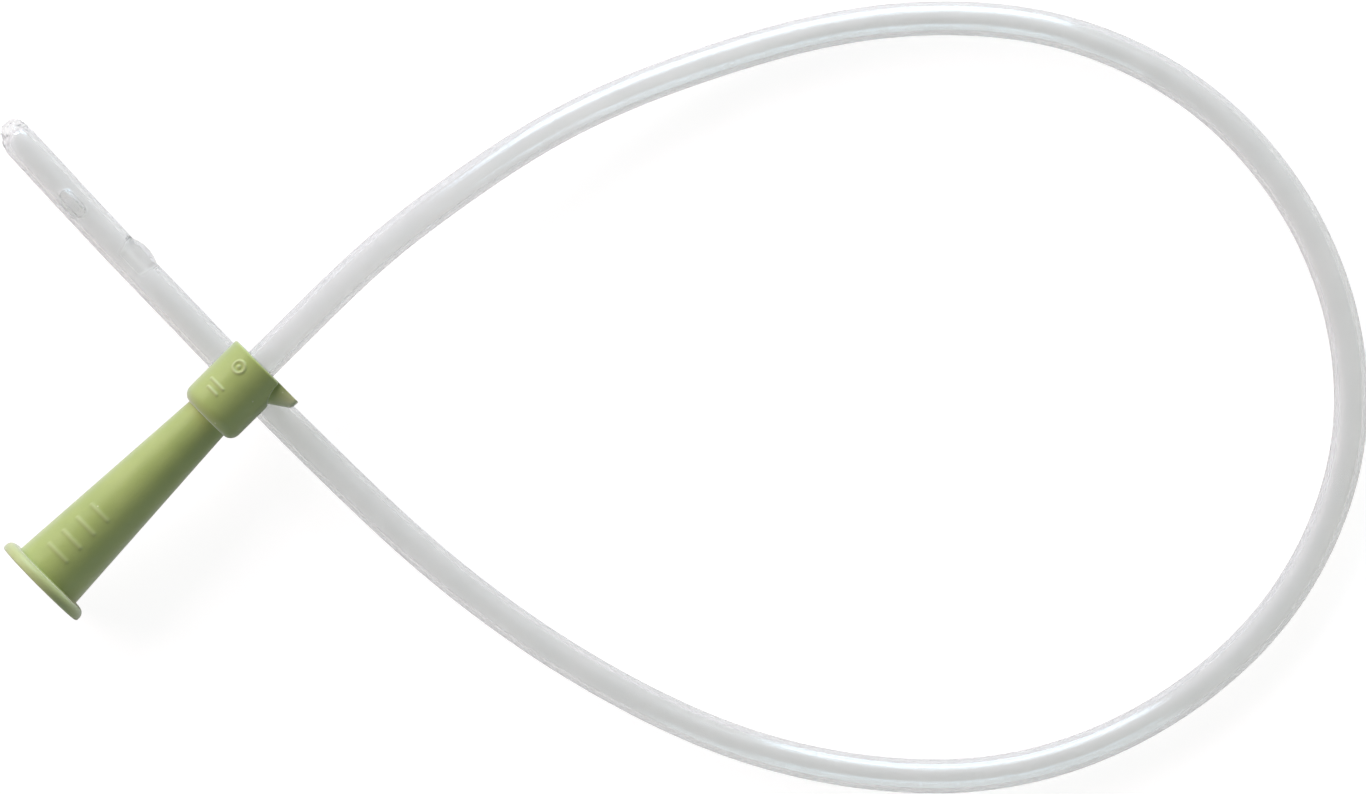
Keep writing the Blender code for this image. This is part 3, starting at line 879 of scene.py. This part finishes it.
def clear_tube_finish():
    material, tree, shader = new_material("clear_soft_tube")
    shader.inputs["Transmission Weight"].default_value = TUBE_TRANSMISSION
    shader.inputs["IOR"].default_value = TUBE_IOR
    place = node(tree, "Attribute", attribute_name="tube_place").outputs["Vector"]
    drawn = node(tree, "Mapping", {"Scale": DRAWN_OUT})
    wire(tree, place, drawn.inputs["Vector"])
    tone = use_group(tree, MOTTLE, place, Scale=160.0, Low=0.0, High=1.0)
    colour = mix_colours(tree, tone, TUBE_PALE, TUBE_DEEP)
    lint = use_group(tree, SPECKS, place, Scale=220.0, Size=0.035)
    wire(tree, mix_colours(tree, lint, colour, LINT_COLOUR), shader.inputs["Base Color"])
    melted = node(tree, "Attribute", attribute_name="melted").outputs["Fac"]
    wire(tree, tube_roughness(tree, place, melted), shader.inputs["Roughness"])
    solidness = node(tree, "MapRange", {"To Min": 1.0, "To Max": MELTED_ALPHA})
    wire(tree, melted, solidness.inputs["Value"])
    wire(tree, solidness.outputs["Result"], shader.inputs["Alpha"])
    lines = use_group(tree, GRAIN, drawn.outputs["Vector"], Scale=900.0, Depth=1.0)
    bump = node(tree, "Bump", {"Strength": 0.1, "Distance": DRAW_LINE_DEPTH})
    wire(tree, lines, bump.inputs["Height"])
    wire(tree, bump.outputs["Normal"], shader.inputs["Normal"])
    return material


soft_tube.data.materials.clear()
soft_tube.data.materials.append(clear_tube_finish())
print("tube finish done")

# %% [markdown]
# The connector is moulded in softened PVC with an olive pigment, and its mould was given a fine
# satin. The colour drifts slightly. The raised marks are a touch paler because the plastic is thin
# there, the flange's rim is paler too, and the ear is paler as painted light, so that it looks
# lit.
# Some light sinks in and comes out again, which softens the shaded side, and a sheen brightens the
# plastic where it is seen at a low angle.

# %% Olive moulded finish
OLIVE, OLIVE_DEEP = (0.325, 0.385, 0.105, 1.0), (0.28, 0.345, 0.084, 1.0)
OLIVE_PALE = (0.50, 0.52, 0.28, 1.0)
OLIVE_SCATTER, OLIVE_SCATTER_SCALE, OLIVE_SHINE = 0.12, 0.0012, 0.45
OLIVE_SHEEN, OLIVE_SHEEN_ROUGHNESS, SATIN_DEPTH = 0.7, 0.5, 0.03 * MM


def olive_finish():
    material, tree, shader = new_material("olive_moulding")
    shader.inputs["Specular IOR Level"].default_value = OLIVE_SHINE
    shader.inputs["Sheen Weight"].default_value = OLIVE_SHEEN
    shader.inputs["Sheen Roughness"].default_value = OLIVE_SHEEN_ROUGHNESS
    shader.inputs["Subsurface Weight"].default_value = OLIVE_SCATTER
    shader.inputs["Subsurface Scale"].default_value = OLIVE_SCATTER_SCALE
    shader.inputs["Subsurface Radius"].default_value = (1.0, 0.9, 0.4)
    place = node(tree, "TexCoord").outputs["Object"]
    tone = use_group(tree, MOTTLE, place, Scale=180.0, Low=0.0, High=1.0)
    colour = mix_colours(tree, tone, OLIVE, OLIVE_DEEP)
    # The paleness mixes in OLIVE_PALE: thin plastic on the marks, a paler flange rim, and painted
    # light that makes the ear look lit.
    paleness_and_painted_light = node(tree, "Attribute", attribute_name="paleness_and_painted_light").outputs["Fac"]
    colour = mix_colours(tree, paleness_and_painted_light, colour, OLIVE_PALE)
    lint = use_group(tree, SPECKS, place, Scale=350.0, Size=0.04)
    wire(tree, mix_colours(tree, lint, colour, OLIVE_PALE), shader.inputs["Base Color"])
    roughness = use_group(tree, MOTTLE, place, Scale=600.0, Low=0.38, High=0.50)
    wire(tree, roughness, shader.inputs["Roughness"])
    grain = use_group(tree, GRAIN, place, Scale=5000.0, Depth=1.0)
    bump = node(tree, "Bump", {"Strength": 0.3, "Distance": SATIN_DEPTH})
    wire(tree, grain, bump.inputs["Height"])
    wire(tree, bump.outputs["Normal"], shader.inputs["Normal"])
    return material


green_funnel.data.materials.append(olive_finish())
print("connector finish done")

# %% [markdown]
# The table is a sweep that reads as white. Its own colour is a mid grey, and a glow that only the
# camera sees lifts it to white, so no extra light falls on the object and its soft shadow stays.
# Rays that bounce off something shiny, or go through the clear tube, see a weaker glow, because
# a real table fades to grey farther from the lamps.

# %% Table
TABLE_SIZE, TABLE_DROP = 6.0, 0.02 * MM
TABLE_ROUGHNESS, TABLE_SHINE = 0.9, 0.1
TABLE_COLOUR = (0.27, 0.25, 0.23, 1.0)
TABLE_GLOW, MIRRORED_GLOW = 0.90, 0.65


def seen_in_mirrors(tree, rays):
    """One for rays that bounced off or went through something shiny, zero for others."""
    mirrored = node(tree, "Math", operation="MAXIMUM")
    wire(tree, rays.outputs["Is Glossy Ray"], mirrored.inputs[0])
    wire(tree, rays.outputs["Is Transmission Ray"], mirrored.inputs[1])
    return mirrored.outputs["Value"]


def table_finish():
    material, tree, shader = new_material("white_table")
    shader.inputs["Base Color"].default_value = TABLE_COLOUR
    shader.inputs["Roughness"].default_value = TABLE_ROUGHNESS
    shader.inputs["Specular IOR Level"].default_value = TABLE_SHINE
    rays = node(tree, "LightPath")
    direct = node(tree, "Math", {1: TABLE_GLOW}, operation="MULTIPLY")
    glow = node(tree, "Math", {1: MIRRORED_GLOW}, operation="MULTIPLY_ADD")
    wire(tree, rays.outputs["Is Camera Ray"], direct.inputs[0])
    wire(tree, seen_in_mirrors(tree, rays), glow.inputs[0])
    wire(tree, direct.outputs["Value"], glow.inputs[2])
    wire(tree, glow.outputs["Value"], shader.inputs["Emission Strength"])
    shader.inputs["Emission Color"].default_value = (1.0, 1.0, 1.0, 1.0)
    return material


def make_table():
    shape = bmesh.new()
    bmesh.ops.create_grid(shape, x_segments=4, y_segments=4, size=TABLE_SIZE / 2)
    mesh = bpy.data.meshes.new("table")
    shape.to_mesh(mesh)
    shape.free()
    mesh.transform(Matrix.Translation((0.0, 0.0, TABLE_Z - TABLE_DROP)))
    mesh.materials.append(table_finish())
    return add_piece("table", mesh)


make_table()
print("table ready")

# %% [markdown]
# Product pictures like this use a softbox as wide as a window at the top of the picture. It is
# low, so its mirror image runs along the flank of a round tube and leaves the crown grey. A long
# low card beside it brightens the parts of the tube that run the other way. Two broad lamps stand
# for lit walls. They light the green plastic but don't show in mirrors, because their images
# would lay more bands on the tube than a real one has. A weak cool lamp opposite picks out the
# far edges, and a soft sky fills the rest.

# %% Lamps and sky
SKY_STRENGTH, MIRRORED_SKY = 0.07, 0.6
SKY_COLOUR = (1.0, 0.99, 0.97, 1.0)


def softbox(name, turn_degrees, height_degrees, distance, size, watts, colour, mirrored=True):
    """An area lamp that looks at the object from a compass turn and a height above the table."""
    lamp = bpy.data.lights.new(name, "AREA")
    lamp.shape, (lamp.size, lamp.size_y) = "RECTANGLE", size
    lamp.energy, lamp.color = watts, colour
    box = bpy.data.objects.new(name, lamp)
    bpy.context.scene.collection.objects.link(box)
    box.visible_glossy = box.visible_transmission = mirrored
    level = Matrix.Rotation(math.radians(turn_degrees), 4, "Z") @ PICTURE_UP
    height = math.radians(height_degrees)
    place = (level * math.cos(height) + Vector((0.0, 0.0, math.sin(height)))) * distance
    aim(box, place, Vector((0.0, 0.0, 0.0)), Vector((0.0, 0.0, 1.0)))


softbox("window", -1.0, 17.0, 0.76, (0.56, 0.50), 5.2, (0.62, 0.83, 1.0))
softbox("card", 62.0, 8.0, 1.0, (1.30, 0.24), 1.1, (1.0, 1.0, 0.98))
softbox("wall", 52.0, 27.0, 1.0, (1.20, 0.60), 12.4, (1.0, 0.87, 1.0), mirrored=False)
softbox("side wall", -45.0, 5.0, 1.0, (0.80, 0.30), 7.0, (1.0, 0.98, 0.90), mirrored=False)
softbox("opposite", 190.0, 14.0, 0.75, (0.90, 0.30), 1.7, (0.74, 0.92, 1.0))

world = bpy.data.worlds.new("studio")
world.use_nodes = True
sky = world.node_tree.nodes["Background"]
sky.inputs["Color"].default_value = SKY_COLOUR
sky_tree = world.node_tree
sky_glow = node(sky_tree, "Math", {1: MIRRORED_SKY, 2: SKY_STRENGTH}, operation="MULTIPLY_ADD")
wire(sky_tree, seen_in_mirrors(sky_tree, node(sky_tree, "LightPath")), sky_glow.inputs[0])
wire(sky_tree, sky_glow.outputs["Value"], sky.inputs["Strength"])
bpy.context.scene.world = world
print("lamps and sky ready")
